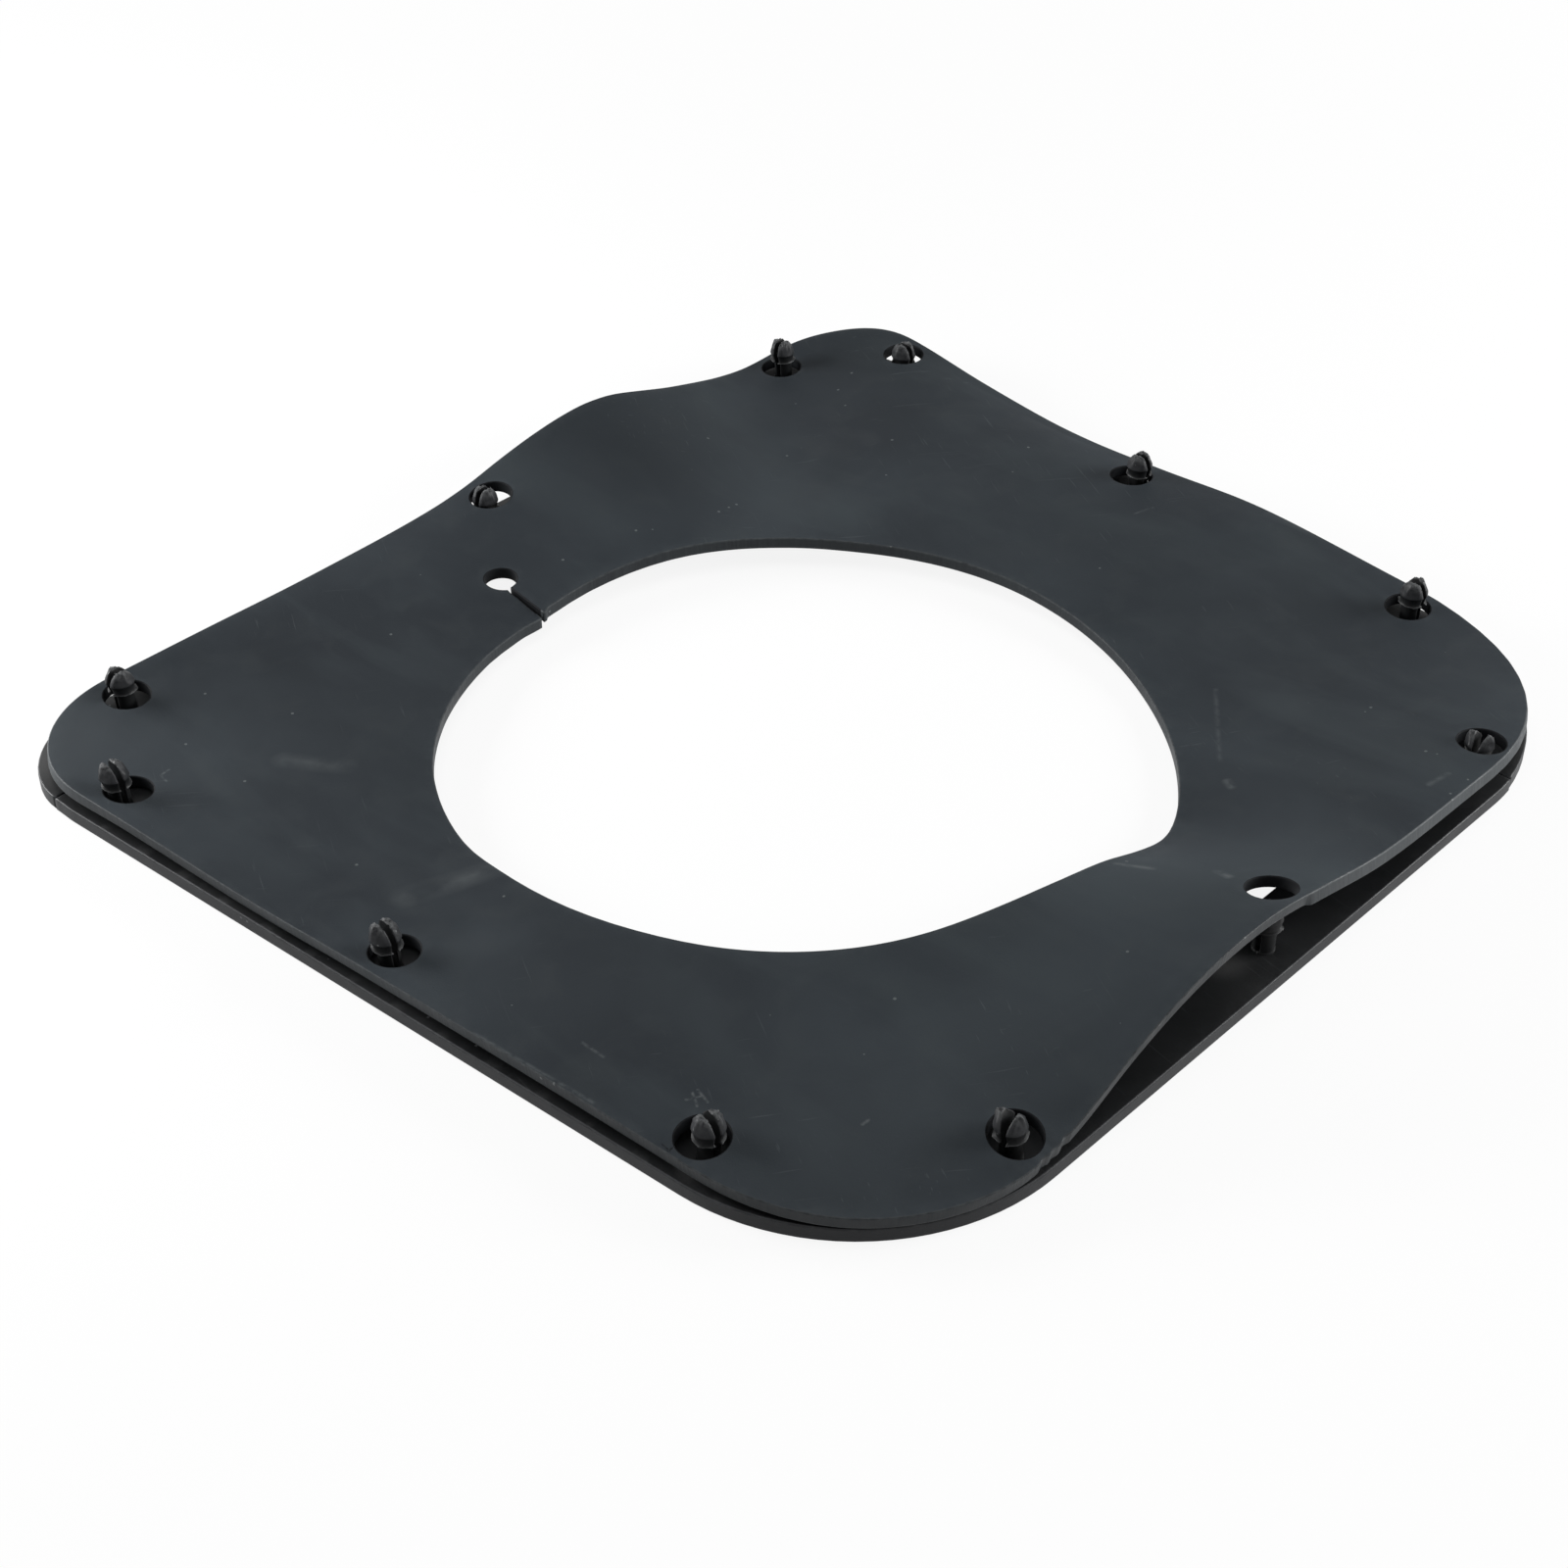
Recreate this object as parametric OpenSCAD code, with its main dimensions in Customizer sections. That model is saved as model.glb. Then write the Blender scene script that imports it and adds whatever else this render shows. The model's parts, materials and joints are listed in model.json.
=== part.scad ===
// Bagger seal for a mower: a warped rubber sheet with a round opening, laid over two
// moulded strips whose split snap studs stand up through the holes in the sheet.
// Origin: middle of the outline in plan, on the strips' flat underside. The wide side is at -X.

/* [Stud pattern] */
// Distance between the stud row on the wide side and the row on the narrow side
row_span = 282.7; // [240:0.1:330]
// Distance between the two flank rows, measured at the middle of the part
flank_span = 300; // [260:0.5:340]
// Angle by which each flank leans in towards the narrow side
flank_lean = 3.3; // [0:0.1:6]
// Stud pitch on the wide side
wide_pitch = 130.6; // [115:0.1:136]
// Stud pitch on the narrow side
narrow_pitch = 96.4; // [60:0.1:100]
// Stud pitch on both flanks
flank_pitch = 100.3; // [80:0.1:102]
// Sideways shift of the middle stud on the wide side
wide_shift = 0.9; // [-2:0.1:2]
// Sideways shift of the middle stud on the narrow side
narrow_shift = -2.9; // [-4:0.1:4]
// Lengthways shift of the middle stud on the front flank
front_flank_shift = -6.6; // [-9:0.1:0]
// Lengthways shift of the middle stud on the rear flank
rear_flank_shift = -10.8; // [-12:0.1:0]

/* [Retainer strips] */
// Width of the strips
strip_w = 20; // [14:0.5:24]
// Thickness of the strips
strip_t = 4; // [3:0.1:6]
// Margin from the stud line to the strips' outer edge, on the wide and narrow sides
side_margin = 9; // [7:0.1:11]
// Margin from the stud line to the front strip's outer edge, along its flank
front_flank_margin = 9.9; // [7:0.1:11]
// Margin from the stud line to the rear strip's outer edge, along the flanks
rear_flank_margin = 8; // [7:0.1:11]
// Outer corner radius at the two wide corners
strip_wide_r = 28; // [26:0.5:38]
// Outer corner radius at the front corner
strip_front_r = 60; // [45:0.5:64]
// Outer corner radius at the right corner
strip_right_r = 65; // [45:0.5:70]
// Place of the seam on the front flank, along the part
flank_seam_x = -122; // [-125:0.5:-118]
// Place of the seam on the narrow side, across the part
narrow_seam_y = 98; // [97.5:0.5:112]
// Open gap at each seam between the two strips
seam_gap = 0.3; // [0.1:0.1:1]

/* [Snap studs] */
// Diameter of the shank
shank_d = 5.5; // [4.5:0.1:6.2]
// Diameter over the barb of the head
head_d = 8.4; // [7:0.1:9.4]
// Height of the stud above the strip
stud_h = 13.4; // [11:0.1:18]
// Height of the head, from the barb to the tip
head_h = 7; // [5:0.1:9]
// Height of the straight band at the barb
barb_band = 1.6; // [0.6:0.1:2.4]
// Diameter of the blunt tip
tip_d = 2.6; // [2:0.1:3.4]
// Diameter of the foot round the root of the shank
foot_d = 7.2; // [6.6:0.1:9]
// Height of that foot
foot_h = 0.8; // [0.4:0.1:1.6]
// Width of the slot that splits the stud into two prongs
slot_w = 1.5; // [0.8:0.1:2]

/* [Rubber sheet] */
// Thickness of the sheet
sheet_t = 3.5; // [2.5:0.1:6]
// Margin from the stud line to the outer edge of the sheet
sheet_margin = 9; // [8.5:0.1:12]
// Outer corner radius of the sheet at the back corner
sheet_back_r = 33; // [26:0.5:40]
// Outer corner radius of the sheet at the left corner
sheet_left_r = 36.5; // [26:0.5:40]
// Outer corner radius of the sheet at the front corner
sheet_front_r = 56; // [50:0.5:66]
// Outer corner radius of the sheet at the right corner
sheet_right_r = 70; // [50:0.5:74]
// Play all round between a stud head and its hole in the sheet
head_play = 2.15; // [1.9:0.05:2.2]
// Diameter of the large opening
opening_d = 194; // [150:0.5:200]
// Place of the opening's centre along the part
opening_x = 5.7; // [0:0.1:9]
// Place of the opening's centre across the part
opening_y = -17.2; // [-19:0.1:0]
// Diameter of the small relief hole at the end of the slit
relief_d = 9.5; // [6:0.1:10]
// Distance from the edge of the opening to the middle of the relief hole
relief_reach = 18; // [14:0.1:22]
// Direction of the relief hole as seen from the middle of the opening
relief_turn = 182.8; // [178:0.1:188]
// Direction of the slit from the relief hole to the opening
slit_turn = -14; // [-20:1:10]
// Width of the slit
slit_w = 0.9; // [0.6:0.1:2]
// Height of the highest wave of the sheet above the strips
wave_h = 20; // [5:0.5:26]
// Gap left under the sheet where it lies down on the strips
rest_gap = 0.25; // [0.1:0.05:0.3]

/* [Hidden] */
ROUND_FN = 64;
BIG_FN = 128;
CUT = 1;
REACH = 2 * (row_span + flank_span);

// The sheet's waves, at places round the opening. Each row gives the direction from the
// middle of the opening, then the lift above the strips at the opening's edge, across the
// field and at the outer edge, and how far the warp has pulled the opening's edge outwards.
// All four are shares of the highest wave.
WAVES = [
    [0, 0.53, 0.90, 0.99, 0],
    [8, 0.27, 0.82, 0.80, 0.04],
    [20, -0.10, 0.70, 0.47, 0.11],
    [38, -0.18, 0.57, 0.36, 0.04],
    [50, -0.19, 0.30, 0.15, 0],
    [60, -0.19, 0.12, 0.06, 0],
    [82, -0.04, 0.32, 0.23, 0],
    [95, 0.04, 0.21, 0.09, 0],
    [106, 0.07, 0.26, 0.01, 0],
    [116, 0.08, 0.30, 0.15, 0],
    [125, 0.09, 0.30, 0.37, 0],
    [132, 0.12, -0.04, 0.18, 0],
    [138, 0.14, -0.10, 0.01, 0],
    [146, 0.17, 0.36, 0.34, 0],
    [155, 0.18, 0.72, 0.78, 0],
    [165, 0.14, 0.61, 0.65, 0],
    [176, 0.06, 0.41, 0.29, 0],
    [195, -0.03, 0.20, 0.15, 0],
    [207, 0.00, 0.09, 0.14, 0.01],
    [218, 0.01, -0.03, 0.12, 0.05],
    [232, 0.00, -0.03, 0.15, 0.085],
    [250, 0.00, 0.02, 0.08, 0.035],
    [263, 0.18, -0.04, 0.12, 0],
    [285, 0.34, 0.10, 0.13, 0],
    [304, 0.38, 0.14, 0.10, 0],
    [318, 0.44, 0.16, 0.00, 0],
    [328, 0.52, 0.19, 0.01, 0],
    [334, 0.59, 0.32, 0.16, 0],
    [341, 0.66, 0.58, 0.62, 0],
    [350, 0.67, 0.84, 0.94, 0],
];

// Small sideways drift of each hole from its stud, as the warped sheet has settled
HOLE_DRIFT = [
    [0, 0.5],
    [1.1, 1.9],
    [0.5, 1],
    [-1, -1],
    [0.5, 0.5],
    [0, 0],
    [0.5, 0],
    [-0.6, -0.5],
    [-1.6, -1.6],
    [0, 0],
    [-0.2, -0.9],
    [1, 1.2],
];

EDGE_CURL = 6;
HEAD_SHAPE = 2.3;
ROWS = 7;
CORNER_STEPS = 12;
SIDE_STEPS = 22;

hole_d = head_d + 2 * head_play;
row_x = row_span / 2;
flank_normal = 90 - flank_lean;
opening_c = [opening_x, opening_y];

// Distance of a flank's stud line from the middle plane, at a place along the part
function flank_y(x) = flank_span / 2 - x * tan(flank_lean);

function flank_stud(side, shift, k) =
    let (x = shift + k * flank_pitch * cos(flank_lean))
    [x, side * flank_y(x), -side * flank_lean];

// The twelve studs in order round the part: place, and direction of the side they stand on
STUDS = concat(
    [[-row_x, wide_shift - wide_pitch, 90]],
    [for (k = [-1 : 1]) flank_stud(-1, front_flank_shift, k)],
    [for (k = [-1 : 1]) [row_x, narrow_shift + k * narrow_pitch, 90]],
    [for (k = [1 : -1 : -1]) flank_stud(1, rear_flank_shift, k)],
    [for (k = [1 : -1 : 0]) [-row_x, wide_shift + k * wide_pitch, 90]]
);
FRONT_STUDS = [1 : 6];
REAR_STUDS = [for (k = [7 : 12]) k % 12];

// A direction in plan
function toward(a) = [cos(a), sin(a)];

// Centre of a rounded corner: side and flank are -1 or 1, and margins are those from the
// stud line on the wide and narrow sides, and along the flanks
function corner_c(side, flank, margins, r) =
    let (x = side * (row_x + margins[0] - r))
    [x, flank * (flank_y(x) + (margins[1] - r) / cos(flank_lean))];

// Corners of a rounded outline in order: right, back, left and front. Each has its
// centre, its radius and the directions in which its arc starts and ends.
function corners(margins, right_r, back_r, left_r, front_r) = [
    [corner_c(1, 1, margins, right_r), right_r, 0, flank_normal],
    [corner_c(-1, 1, margins, back_r), back_r, flank_normal, 180],
    [corner_c(-1, -1, margins, left_r), left_r, 180, 360 - flank_normal],
    [corner_c(1, -1, margins, front_r), front_r, 360 - flank_normal, 360],
];

function arc_point(c, share) = c[0] + c[1] * toward(c[2] + share * (c[3] - c[2]));

// Flat outline of a strip's outer edge, moved inwards by an inset
module strip_outline(flank_margin, inset) {
    margins = [side_margin - inset, flank_margin - inset];
    wide_r = strip_wide_r - inset;
    ring = corners(margins, strip_right_r - inset, wide_r, wide_r, strip_front_r - inset);
    polygon([for (c = ring, share = [0, 1]) arc_point(c, share)]);
    for (c = ring)
        translate(c[0])
            circle(r = c[1], $fn = BIG_FN);
}

module strip_band(flank_margin) {
    difference() {
        strip_outline(flank_margin, 0);
        strip_outline(flank_margin, strip_w);
    }
}

// Plan region of the front strip: everything on its side of the two seams
module front_region(gap) {
    inner_x = row_x + side_margin - 2 * strip_w;
    inner_y = flank_y(0) + front_flank_margin - 2 * strip_w;
    polygon([
        [flank_seam_x - gap, -REACH],
        [flank_seam_x - gap, -inner_y],
        [inner_x, narrow_seam_y + gap],
        [REACH, narrow_seam_y + gap],
        [REACH, -REACH],
    ]);
}

// Radius of the head at a share of its height above the barb band
function ogive_r(share) = tip_d / 2 + (head_d - tip_d) / 2 * (1 - pow(share, HEAD_SHAPE));

module stud_blank() {
    barb_z = stud_h - head_h;
    nose_z = barb_z + barb_band;
    steps = 6;
    rotate_extrude($fn = ROUND_FN)
        polygon(concat(
            [
                [0, -strip_t / 2],
                [foot_d / 2, -strip_t / 2],
                [foot_d / 2, foot_h],
                [shank_d / 2, foot_h],
                [shank_d / 2, barb_z],
                [head_d / 2, barb_z],
            ],
            [for (k = [0 : steps])
                [ogive_r(k / steps), nose_z + (stud_h - nose_z) * k / steps]],
            [[0, stud_h]]
        ));
}

// Split stud standing on a strip, with its slot along its own side
module stud(place) {
    translate([place[0], place[1], strip_t])
        rotate(place[2])
            difference() {
                stud_blank();
                translate([-head_d, -slot_w / 2, foot_h])
                    cube([2 * head_d, slot_w, stud_h]);
            }
}

module front_retainer() {
    color("#1d1e20") {
        linear_extrude(strip_t)
            intersection() {
                strip_band(front_flank_margin);
                front_region(0);
            }
        for (k = FRONT_STUDS)
            stud(STUDS[k]);
    }
}

module rear_retainer() {
    color("#222325") {
        linear_extrude(strip_t)
            difference() {
                strip_band(rear_flank_margin);
                front_region(seam_gap);
            }
        for (k = REAR_STUDS)
            stud(STUDS[k]);
    }
}

// Smooth closed curve through column c of the waves, read at direction a
function wave_row(i) =
    let (n = len(WAVES), turn = floor(i / n))
    [for (c = [0 : 4]) WAVES[i - turn * n][c] + (c == 0 ? 360 * turn : 0)];
function wave_slope(i, c) =
    let (p = wave_row(i - 1), q = wave_row(i + 1))
    (q[c] - p[c]) / (q[0] - p[0]);
function wave_at(a, c) =
    let (
        last = [for (i = [0 : len(WAVES) - 1]) if (WAVES[i][0] <= a) i],
        i = last[len(last) - 1],
        p = wave_row(i),
        q = wave_row(i + 1),
        h = q[0] - p[0],
        t = (a - p[0]) / h
    )
    p[c] * (1 + 2 * t) * pow(1 - t, 2) + q[c] * pow(t, 2) * (3 - 2 * t)
        + h * t * (1 - t) * (wave_slope(i, c) * (1 - t) - wave_slope(i + 1, c) * t);

// Lift of the sheet's underside above the strips, at direction a and at share s of the
// way from the opening to the outer edge
function sheet_lift(a, s) =
    let (
        edge_share = pow(s, EDGE_CURL),
        rim = wave_at(a, 1),
        field = wave_at(a, 2),
        edge = wave_at(a, 3),
        lift = wave_h * (rim * (1 - s) + field * (s - edge_share) + edge * edge_share)
    )
    s < 0.5 ? lift : max(lift, rest_gap);

// Outline of the sheet as points: arcs at the corners, with even steps along the sides
function sheet_outline() =
    let (
        margins = [sheet_margin, sheet_margin],
        ring = corners(margins, sheet_right_r, sheet_back_r, sheet_left_r, sheet_front_r)
    )
    [for (k = [0 : 3])
        let (c = ring[k], p = arc_point(c, 1), q = arc_point(ring[(k + 1) % 4], 0))
        each concat(
            [for (i = [0 : CORNER_STEPS - 1]) arc_point(c, i / CORNER_STEPS)],
            [for (i = [0 : SIDE_STEPS - 1]) p + (q - p) * i / SIDE_STEPS]
        )];

// Radius of the opening in direction a
function opening_r(a) = opening_d / 2 + wave_h * wave_at(a, 4);

// One point of the sheet: outer is its point on the outline, s the share of the way out
function sheet_point(outer, s, up) =
    let (
        d = outer - opening_c,
        a = (atan2(d[1], d[0]) + 360) % 360,
        plan = (opening_c + opening_r(a) * toward(a)) * (1 - s) + outer * s
    )
    [plan[0], plan[1], strip_t + sheet_lift(a, s) + up];

module waved_sheet() {
    outline = sheet_outline();
    n = len(outline);
    row = ROWS + 1;
    layer = n * row;
    points = [for (up = [0, sheet_t], i = [0 : n - 1], j = [0 : ROWS])
        sheet_point(outline[i], sin(90 * j / ROWS), up)];
    // Corner of a cell: i round the part, j outwards, side 0 below and 1 above
    function at(i, j, side) = side * layer + (i % n) * row + j;
    polyhedron(points, [
        for (i = [0 : n - 1]) each concat(
            [for (j = [0 : ROWS - 1]) each [
                [at(i, j, 1), at(i + 1, j, 1), at(i + 1, j + 1, 1)],
                [at(i, j, 1), at(i + 1, j + 1, 1), at(i, j + 1, 1)],
                [at(i, j, 0), at(i + 1, j + 1, 0), at(i + 1, j, 0)],
                [at(i, j, 0), at(i, j + 1, 0), at(i + 1, j + 1, 0)],
            ]],
            [
                [at(i, ROWS, 1), at(i + 1, ROWS, 1), at(i + 1, ROWS, 0)],
                [at(i, ROWS, 1), at(i + 1, ROWS, 0), at(i, ROWS, 0)],
                [at(i, 0, 1), at(i, 0, 0), at(i + 1, 0, 0)],
                [at(i, 0, 1), at(i + 1, 0, 0), at(i + 1, 0, 1)],
            ]
        )]);
}

module sheet_holes() {
    tall = strip_t + 2 * wave_h + 2 * sheet_t;
    for (k = [0 : len(STUDS) - 1])
        translate([STUDS[k][0] + HOLE_DRIFT[k][0], STUDS[k][1] + HOLE_DRIFT[k][1], -CUT])
            cylinder(d = hole_d, h = tall, $fn = ROUND_FN);
    relief = opening_c + (opening_d / 2 + relief_reach) * toward(relief_turn);
    translate([relief[0], relief[1], -CUT]) {
        cylinder(d = relief_d, h = tall, $fn = ROUND_FN);
        rotate(slit_turn)
            translate([0, -slit_w / 2, 0])
                cube([2 * relief_reach, slit_w, tall]);
    }
}

module rubber_seal() {
    color("#373d41")
        difference() {
            waved_sheet();
            sheet_holes();
        }
}

rubber_seal();
front_retainer();
rear_retainer();
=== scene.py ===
"""Looks for the mower bagger seal: a warped rubber sheet on two moulded strips with snap studs.

Every outline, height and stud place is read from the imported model. Lengths are in metres, and
values that are written as N * MM are millimetres.
"""

import json
import math
import random

import bpy
import numpy as np
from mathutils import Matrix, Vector, noise
from mathutils.bvhtree import BVHTree
from mathutils.geometry import delaunay_2d_cdt


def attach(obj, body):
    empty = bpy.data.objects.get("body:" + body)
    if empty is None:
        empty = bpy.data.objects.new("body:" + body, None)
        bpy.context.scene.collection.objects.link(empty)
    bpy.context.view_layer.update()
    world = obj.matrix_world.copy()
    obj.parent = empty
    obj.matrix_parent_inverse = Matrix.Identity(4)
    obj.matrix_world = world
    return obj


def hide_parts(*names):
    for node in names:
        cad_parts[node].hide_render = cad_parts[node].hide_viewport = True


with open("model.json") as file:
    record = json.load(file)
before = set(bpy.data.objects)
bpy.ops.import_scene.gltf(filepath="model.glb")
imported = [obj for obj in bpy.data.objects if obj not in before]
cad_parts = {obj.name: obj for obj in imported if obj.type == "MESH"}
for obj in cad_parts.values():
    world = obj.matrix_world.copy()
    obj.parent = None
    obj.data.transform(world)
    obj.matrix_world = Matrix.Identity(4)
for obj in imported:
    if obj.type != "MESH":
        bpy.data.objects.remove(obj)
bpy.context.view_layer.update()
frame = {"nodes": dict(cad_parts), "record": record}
MM = 0.001

# Camera, as the photograph was taken
PHOTO_PX = 1600
FOCAL_PX = 2648.4
SENSOR_MM = 36
CAMERA_AZIMUTH = 42.951
CAMERA_ELEVATION = 36.661
CAMERA_DISTANCE = 683.97 * MM
CLIP_START = 10 * MM
LOOK_AT = Vector((8.43 * MM, -29.27 * MM, 0))

# Studio: the floor turns plain white between two distances from the middle
FLOOR_HALF = 6.0
FLOOR_TONE = 0.85
FLOOR_GLOW = 0.88
FLOOR_ROUGHNESS = 0.9
PLAIN_FROM = (0.3, 0.8)
ROOM_LIGHT = 0.14
# Lamps: place, size and power
LAMPS = {
    "Right softbox": ((0.72, 0.82, 0.33), (0.6, 0.4), 15),
    "Left softbox": ((-0.6, -0.34, 0.22), (0.42, 0.26), 6.5),
    "Top softbox": ((0.2, -0.25, 1.7), (1.2, 1.2), 12),
}

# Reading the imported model: the least upright share of a normal that looks up, the grid that joins
# equal corners, an outline's fewest points and shortest edge, and the turn in degrees at a corner
LEAST_UPRIGHT = 0.3
PLAN_GRID = 0.01 * MM
FEWEST_POINTS = 5
SHORTEST_EDGE = 0.08 * MM
CORNER_TURN = 35

# Plates: the limit of an inset at a corner, how far inner points keep from a rim against the step,
# the levels of a rounded edge with their edge shares, the share of its rims, how much of it the
# lower edge has, the width of the ring beside it, the pattern of the walls' unevenness, and how
# often a rim is evened out for each pass
LEAST_LEAN = 0.6
RIM_CLEARANCE = 0.62
EDGE_TURNS = [22.5, 45, 67.5, 90]
EDGE_SHARES = [0.9, 1.0, 1.0, 0.8]
RIM_SHARE = 0.5
LOWER_EDGE = 0.7
WORN_RING = 0.25 * MM
WALL_WAVES = 180
RIM_PASSES = 3

# Sheet
SHEET_T = 3.5 * MM
SHEET_EDGE_R = 0.35 * MM
SHEET_STEP = 2.2 * MM
SHEET_RIM_STEP = 0.8 * MM
SHEET_UNEVEN = 0.07 * MM
SHEET_PASSES = 14
OUTLINE_PASSES = 8
HOLE_PASSES = 2

# Slant of the sheet's cut outer wall: the lower lip stands in, but out past the kink and at the
# left corner. Both of these begin at the first and are full at the second place in plan.
WALL_UNDERCUT = 0.5 * MM
KINK_SLANT = 1.0 * MM
KINK_X = (120 * MM, 140 * MM)
KINK_Y = (-1.5 * MM, 0)
CORNER_SLANT = 0.9 * MM
CORNER_X = (95 * MM, 125 * MM)
CORNER_Y = (100 * MM, 130 * MM)

# The slit in the model's outline: how wide it is at most, how many points its sides are apart, how
# much they face each other, and how deep its two ends are
SLIT_W = 1.3 * MM
SLIT_APART = 4
SLIT_FACING = -0.8
SLIT_END = 1.5 * MM
# Its real shape against the model's: how far each lip lies off at the hole and at the opening, and
# how far around them the sheet follows
LIP_SHIFTS = {1: (0.65 * MM, 2.7 * MM), -1: (0.8 * MM, 2.8 * MM)}
LIP_WIDTH = 0.7 * MM
LIP_REACH = 5 * MM
# How far the opening's edge lies in beside the slit, and how far the relief hole lies off
MOUTH_SHIFT = 1.3 * MM
MOUTH_REACH = 24 * MM
HOLE_SHIFT = (-0.8 * MM, 0.9 * MM)
HOLE_REACH = 5.2 * MM
HOLE_FADE = 1.5 * MM
HOLE_OFF = 4.2 * MM
# How far each lip stands up at the opening, how far beside the slit, and the share at the hole
LIP_RISES = {1: 0.75 * MM, -1: -0.5 * MM}
LIP_SPAN = 26 * MM
LIP_START = 0.3
# How far the slit's own walls, darker as painted shade, reach: from its end, and past the opening's
# edge
SLIT_WALLS = 14 * MM
MOUTH_GAP = 0.3 * MM

# Strips
STRIP_T = 4 * MM
STRIP_EDGE_R = 0.45 * MM
STRIP_STEP = 4 * MM
STRIP_RIM_STEP = 1.2 * MM
STRIP_UNEVEN = 0.06 * MM
UNDERSIDE_Z = 0.5 * MM
# Where a strip's outline lies off the model's by the left corner: place, reach and shift in mm
STRIP_SHIFTS = {
    "rear_strip": ((-124, -165), 26, (-0.1, -1.3)),
    "front_strip": ((-122, -167), 8, (0, 0.45)),
}

# Snap studs
SHANK_R = 2.75 * MM
FOOT_R = 2.9 * MM
FOOT_H = 0.5 * MM
HEAD_R = 3.85 * MM
BARB_Z = 6.8 * MM
BAND_H = 2.6 * MM
BAND_R = 3.65 * MM
BAND_FOOT_R = 3.3 * MM
SHOULDER_R = 3.85 * MM
STUD_H = 13.4 * MM
SLOT_W = 1.4 * MM
TIP_R = 2.3 * MM
NOSE_SHAPE = 2.2
NOSE_LEVELS = 12
# Edge share of the nose at its foot, and what its tip has on top
NOSE_WEAR = 0.03
NOSE_TIP_WEAR = 0.6
# A prong's ring: points on its round side and inside its slot, and how much of the radius the slot
# may take
ARC_POINTS = 25
SLOT_POINTS = 7
WIDEST_SLOT = 0.95
# The nose's facets: how many, how flat, and how fast they begin
FACETS = 6
FACET_DEPTH = 0.75
FACET_START = 3
# The moulding rim has this edge share or more, below the nose, and stands out in lobes. Its pale
# line is partly worn flash and partly a painted highlight
RIM_HIGHLIGHT = 0.6
FLASH_LOBE = 0.35 * MM
LOBE_TURN = 0.3
LOBE_SHAPE = 6
SPLAY = 0.15 * MM
# A pointed prong is narrower, bends back at its tip and is less ragged
POINTED_NARROW = 0.62
POINTED_BEND = 0.75 * MM
POINTED_CALM = 0.5
# Torn tips: how late they start, how ragged they are, how far their sides drop, how high the middle
# is and its edge share, and how rough the nose is
TEAR_SHAPE = 4
RAGGED = 0.3 * MM
TIP_DROP = 0.5 * MM
TIP_CAP = 0.15 * MM
TIP_WEAR = 0.8
ROUGH = 0.22 * MM
ROUGH_WAVES = 900
SEED_SPAN = 50

# How a stud bends over its height
LEAN_SHAPE = 1.5
# How single studs differ: lean of the tip in mm, change of height in mm, how pointed, and turn in
# degrees
STUD_HABITS = {
    "stud_wide_left": ((-0.85, -0.8), -0.6, 0.3, 0),
    "stud_flank_front_a": ((-1.0, -0.95), -0.1, 0, -9),
    "stud_flank_front_b": ((-0.85, -0.8), 0, 0, -9),
    "stud_flank_front_c": ((0, 0), -0.6, 0.15, -15),
    "stud_narrow_a": ((-0.6, -0.55), -0.3, 1, 12),
    "stud_narrow_c": ((0.1, 0), -0.6, 1, 10),
    "stud_flank_rear_c": ((0.3, 0.3), 0, 0.2, 0),
    "stud_flank_rear_b": ((0.1, 0.1), -0.2, 0.1, 0),
    "stud_wide_right": ((-0.6, -0.6), 0, 0, 8),
    "stud_wide_middle": ((-0.3, -0.3), 0, 0.1, 8),
}
NO_HABIT = ((0, 0), 0, 0, 0)
# The stud that the sheet still covers. It keeps the strips' darker plastic all over: painted shade
# under the sheet
SHEET_SHADED_STUD = "stud_narrow_b"

# How strong every material's fine height is, and how a scuff breaks up: the size of its parts
# against its width, and the two levels of their pattern
BUMP_STRENGTH = 0.5
SCUFF_PARTS = 0.4
SCUFF_LEVELS = (0.33, 0.62)

# Marks of use on the sheet, in millimetres in plan. Lines: x and y of both ends, width and strength
SCUFFS = [
    (-20, -134, -10, -112, 5, 0.5),
    (-88, -118, -74, -109, 4, 0.35),
    (30, -157, 67, -154, 0.7, 0.6),
    (52, -143, 59, -143, 0.6, 0.6),
    (-106, -141.5, -105.5, -144.4, 0.5, 0.8),
    (-105.5, -144.4, -102.3, -145, 0.5, 0.8),
    (82, -138, 85.5, -140, 0.5, 1),
    (82.3, -140.3, 84.2, -137.3, 0.5, 0.9),
    (82.3, -136.6, 86.4, -137.7, 0.5, 0.9),
    (105.7, -15.4, 113.5, -11.6, 1.6, 0.8),
    (126, -2.5, 130, -3.9, 1.6, 0.9),
    (97.8, 43.5, 100.5, 41.8, 1.6, 0.8),
    (142.5, 66.3, 143.5, 74, 1.2, 0.5),
    (116.3, -120.1, 116.5, -118.4, 0.6, 1),
    (2.6, 130.7, 4.7, 136.6, 0.7, 0.5),
    (70, 78, 90.6, 50.7, 1, 0.35),
    (34, 156, 65, 158, 3, 0.35),
]
CRACKS = [
    (89.3, -154.8, 90.1, -150.9, 0.35, 1),
    (90, -153, 87.2, -152.6, 0.3, 1),
]
# Nicks in its edges: x, y, size and depth
NICKS = [
    (150.4, -98.7, 1.6, 0.6),
    (150.4, -95.6, 1.2, 0.45),
    (150.4, -91.5, 1.5, 0.6),
    (148, -90.5, 1.2, 0.5),
    (96.5, 143.4, 1.3, 0.6),
    (95, -165.5, 1.1, 0.4),
]
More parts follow.
